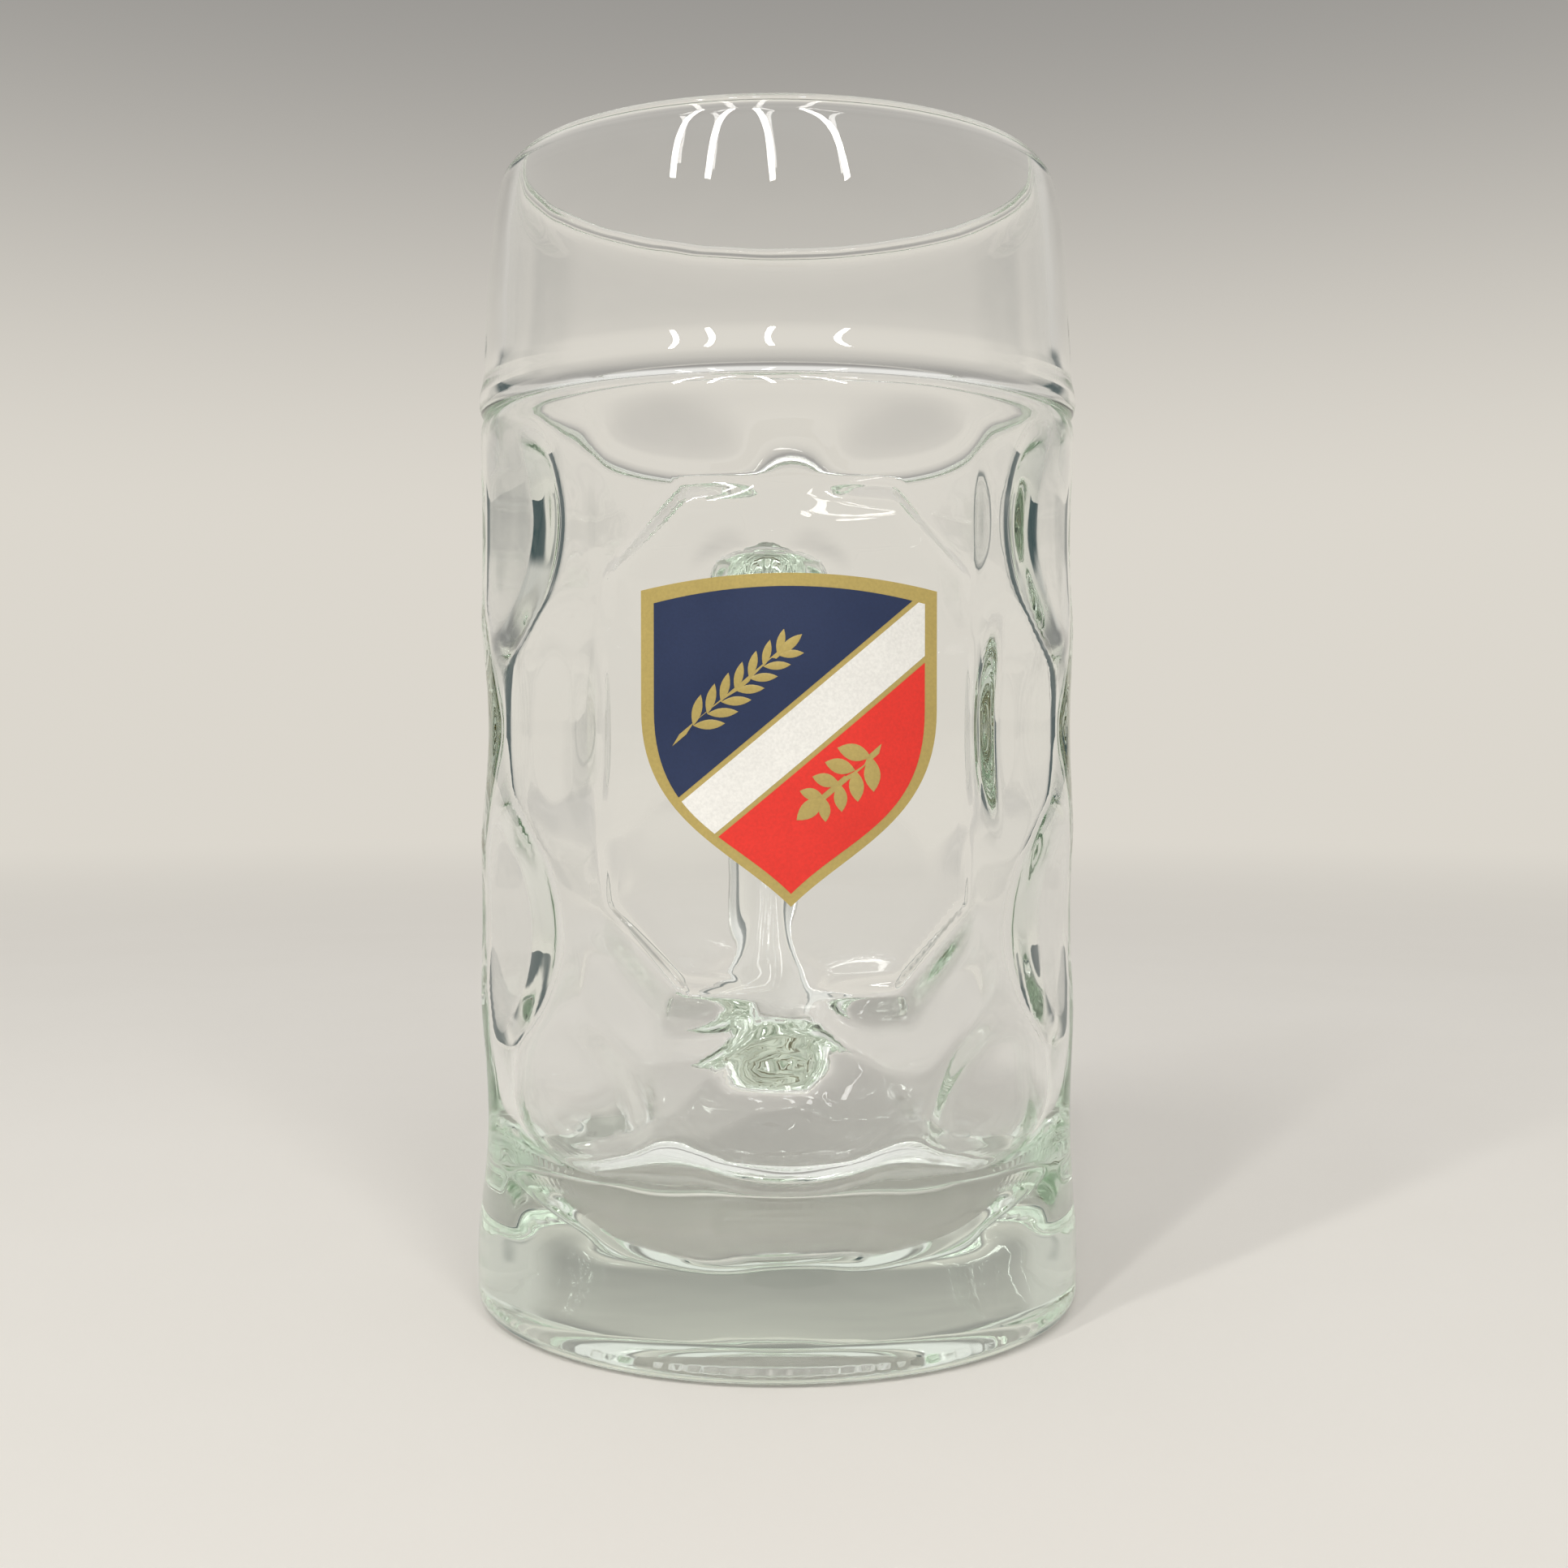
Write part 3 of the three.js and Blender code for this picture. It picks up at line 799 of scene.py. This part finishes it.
def green_tinted_glass():
    material, nodes, links, glass = new_material("green_tinted_glass")
    glass.inputs["Base Color"].default_value = (1, 1, 1, 1)
    glass.inputs["Roughness"].default_value = 0.0
    glass.inputs["IOR"].default_value = 1.51
    glass.inputs["Transmission Weight"].default_value = 1.0
    depth = nodes.new("ShaderNodeVolumeAbsorption")
    depth.inputs["Color"].default_value = (0.93, 0.967, 0.932, 1)
    depth.inputs["Density"].default_value = 20.0
    links.new(depth.outputs["Volume"], nodes["Material Output"].inputs["Volume"])
    bump = nodes.new("ShaderNodeBump")
    bump.inputs["Strength"].default_value = 0.25
    bump.inputs["Distance"].default_value = 0.0002
    links.new(noise(material.node_tree, scale=90.0, detail=1.0), bump.inputs["Height"])
    links.new(bump.outputs["Normal"], glass.inputs["Normal"])
    return material


def noise(tree, scale, detail):
    place = tree.nodes.new("ShaderNodeTexCoord")
    pattern = tree.nodes.new("ShaderNodeTexNoise")
    pattern.inputs["Scale"].default_value = scale
    pattern.inputs["Detail"].default_value = detail
    tree.links.new(place.outputs["Object"], pattern.inputs["Vector"])
    return pattern.outputs["Fac"]


def spread(tree, value, low, high):
    """Spreads a pattern's middle range from one value to another."""
    scale = tree.nodes.new("ShaderNodeMapRange")
    scale.inputs["From Min"].default_value = 0.3
    scale.inputs["From Max"].default_value = 0.7
    scale.inputs["To Min"].default_value = low
    scale.inputs["To Max"].default_value = high
    tree.links.new(value, scale.inputs["Value"])
    return scale.outputs["Result"]


def fired_enamel():
    """Shared group that gives an ink the cloudy, finely grained look of a print fired onto glass."""
    group = bpy.data.node_groups.new("fired_enamel", "ShaderNodeTree")
    group.interface.new_socket("Ink", in_out="INPUT", socket_type="NodeSocketColor")
    group.interface.new_socket("Colour", in_out="OUTPUT", socket_type="NodeSocketColor")
    group.interface.new_socket("Roughness", in_out="OUTPUT", socket_type="NodeSocketFloat")
    group.interface.new_socket("Height", in_out="OUTPUT", socket_type="NodeSocketFloat")
    entry = group.nodes.new("NodeGroupInput")
    leave = group.nodes.new("NodeGroupOutput")
    cloud = noise(group, scale=70.0, detail=3.0)
    grains = noise(group, scale=2200.0, detail=2.0)
    tone = group.nodes.new("ShaderNodeHueSaturation")
    group.links.new(entry.outputs["Ink"], tone.inputs["Color"])
    cloudy = spread(group, cloud, low=0.95, high=1.04)
    grained = spread(group, grains, low=0.93, high=1.05)
    group.links.new(work_out(group, "MULTIPLY", cloudy, grained), tone.inputs["Value"])
    group.links.new(tone.outputs["Color"], leave.inputs["Colour"])
    group.links.new(spread(group, cloud, low=0.28, high=0.46), leave.inputs["Roughness"])
    group.links.new(grains, leave.inputs["Height"])
    return group


def enamel(name, colour, group):
    material, nodes, links, ink = new_material(name)
    fired = nodes.new("ShaderNodeGroup")
    fired.node_tree = group
    fired.inputs["Ink"].default_value = (*colour, 1)
    links.new(fired.outputs["Colour"], ink.inputs["Base Color"])
    links.new(fired.outputs["Roughness"], ink.inputs["Roughness"])
    bump = nodes.new("ShaderNodeBump")
    bump.inputs["Strength"].default_value = 0.2
    bump.inputs["Distance"].default_value = 0.0001
    links.new(fired.outputs["Height"], bump.inputs["Height"])
    links.new(bump.outputs["Normal"], ink.inputs["Normal"])
    return material


# Build

def take(piece, slot, material, *nodes):
    piece.data.materials.clear()
    piece.data.materials.append(material)
    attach(piece, "root")
    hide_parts(*nodes)


fired = fired_enamel()
gold = enamel("gold_enamel", (0.47, 0.36, 0.11), fired)
navy = enamel("navy_enamel", (0.01, 0.024, 0.08), fired)
red = enamel("red_enamel", (0.8, 0.03, 0.018), fired)
white = enamel("white_enamel", (0.85, 0.84, 0.8), fired)
take(mug_glass(), "clear_glass", green_tinted_glass(), "glass_body", "handle")
take(gold_ground(), "gold_print", gold, "print_gold_ground")
take(navy_field(), "navy_print", navy, "print_navy_field")
take(red_field(), "red_print", red, "print_red_field")
take(white_band(), "white_print", white, "print_white_band")
take(gold_barley(), "gold_print", gold, "print_gold_barley")
take(gold_hop(), "gold_print", gold, "print_gold_hop")


# Studio

def seen_through(tree):
    """One for light that came off or through glass, and one for light that goes straight to the camera."""
    light = tree.nodes.new("ShaderNodeLightPath")
    glass = work_out(tree, "MAXIMUM", light.outputs["Is Glossy Ray"], light.outputs["Is Transmission Ray"])
    return glass, light.outputs["Is Camera Ray"]


def pale_floor():
    bpy.ops.object.select_all(action="DESELECT")
    bpy.ops.mesh.primitive_circle_add(
        vertices=96, radius=FLOOR_RADIUS, fill_type="NGON", location=(0, 0, -FLOOR_DROP)
    )
    floor = bpy.context.object
    floor.name = "pale_floor"
    material, nodes, links, paint = new_material("pale_floor")
    tree = material.node_tree
    paint.inputs["Roughness"].default_value = 0.8
    mottle = noise(tree, scale=14.0, detail=2.0)
    links.new(blend(tree, mottle, FLOOR_COLOUR, FLOOR_MOTTLE), paint.inputs["Base Color"])
    place = nodes.new("ShaderNodeTexCoord")
    far = nodes.new("ShaderNodeVectorMath")
    far.operation = "LENGTH"
    links.new(place.outputs["Object"], far.inputs[0])
    glass, camera = seen_through(tree)
    fade = ramp(tree, far.outputs["Value"], *FLOOR_FADE)
    fade = work_out(tree, "MULTIPLY", fade, work_out(tree, "MAXIMUM", glass, camera))
    backdrop = nodes.new("ShaderNodeEmission")
    backdrop.inputs["Color"].default_value = (*BACKDROP_LOW, 1)
    mix = nodes.new("ShaderNodeMixShader")
    links.new(fade, mix.inputs[0])
    links.new(paint.outputs["BSDF"], mix.inputs[1])
    links.new(backdrop.outputs["Emission"], mix.inputs[2])
    links.new(mix.outputs[0], nodes["Material Output"].inputs["Surface"])
    floor.data.materials.append(material)


def studio_world():
    """A pale backdrop and room, dark low down at the mug's two sides, with an even soft fill."""
    world = bpy.data.worlds.new("studio")
    bpy.context.scene.world = world
    world.use_nodes = True
    tree = world.node_tree
    sky = tree.nodes["Background"]
    place = tree.nodes.new("ShaderNodeTexCoord")
    split = tree.nodes.new("ShaderNodeSeparateXYZ")
    tree.links.new(place.outputs["Generated"], split.inputs[0])
    across, along, up = split.outputs
    across_square = work_out(tree, "MULTIPLY", across, across)
    along_square = work_out(tree, "MULTIPLY", along, along)
    level = work_out(tree, "SQRT", work_out(tree, "ADD", across_square, along_square), 0)
    facing = work_out(tree, "DIVIDE", along, work_out(tree, "MAXIMUM", level, 0.001))
    backdrop = blend(tree, ramp(tree, up, *BACKDROP_RISE), BACKDROP_LOW, BACKDROP_HIGH)
    beside = blend(tree, ramp(tree, up, *SIDE_RISE), ROOM_SIDE, ROOM_HIGH)
    room = blend(tree, ramp(tree, facing, *FRONT_EDGE), ROOM_SIDE, ROOM_FRONT)
    room = blend(tree, ramp(tree, up, *ROOM_RISE), room, ROOM_HIGH)
    room = blend(tree, ramp(tree, facing, *SIDE_EDGE), room, beside)
    around = blend(tree, ramp(tree, facing, *BACKDROP_SIDE), room, backdrop)
    around = blend(tree, ramp(tree, up, *CEILING_RISE), around, CEILING)
    glass, camera = seen_through(tree)
    colour = blend(tree, glass, SOFT_FILL, around)
    colour = blend(tree, camera, colour, backdrop)
    tree.links.new(colour, sky.inputs["Color"])
    sky.inputs["Strength"].default_value = 1.0


def lamp_end(turn, rise):
    """A place round the mug's lip, by its turn from straight in front and its rise."""
    turn, rise = math.radians(turn), math.radians(rise)
    level = LAMP_DISTANCE * math.cos(rise)
    height = MUG_HEIGHT + LAMP_DISTANCE * math.sin(rise)
    return Vector((level * math.sin(turn), -level * math.cos(turn), height))


def strip_lamps():
    """Strip lamps high up behind the camera, each between two places and turned to the mug."""
    for number, (upper_turn, lower_turn) in enumerate(STRIP_LAMPS):
        top = lamp_end(upper_turn, LAMP_TOP)
        bottom = lamp_end(lower_turn, LAMP_BOTTOM)
        lamp = bpy.data.lights.new(f"strip_lamp_{number + 1}", "AREA")
        lamp.shape = "RECTANGLE"
        lamp.size = LAMP_WIDTH
        lamp.size_y = (top - bottom).length
        lamp.energy = LAMP_GLOW * lamp.size * lamp.size_y * math.pi
        lamp.color = LAMP_COLOUR
        stand = bpy.data.objects.new(lamp.name, lamp)
        bpy.context.scene.collection.objects.link(stand)
        stand.location = (top + bottom) / 2
        back = (stand.location - Vector((0, 0, MUG_HEIGHT))).normalized()
        upright = (top - bottom).normalized()
        aside = upright.cross(back).normalized()
        turn = Matrix((aside, back.cross(aside), back)).transposed()
        stand.rotation_euler = turn.to_euler()
        stand.visible_camera = False


def photo_camera():
    lens = bpy.data.cameras.new("photo_camera")
    lens.lens = CAMERA_LENS
    lens.sensor_width = 36
    lens.clip_start = 0.01
    camera = bpy.data.objects.new("photo_camera", lens)
    bpy.context.scene.collection.objects.link(camera)
    camera.location = (
        CAMERA_DISTANCE * math.sin(CAMERA_TURN),
        -CAMERA_DISTANCE * math.cos(CAMERA_TURN),
        CAMERA_HEIGHT,
    )
    camera.rotation_euler = (math.pi / 2 + CAMERA_TILT, 0, CAMERA_TURN + CAMERA_PAN)
    bpy.context.scene.camera = camera


pale_floor()
studio_world()
strip_lamps()
photo_camera()
scene = bpy.context.scene
scene.view_settings.view_transform = "Standard"
scene.cycles.max_bounces = 40
scene.cycles.glossy_bounces = 40
scene.cycles.transmission_bounces = 40
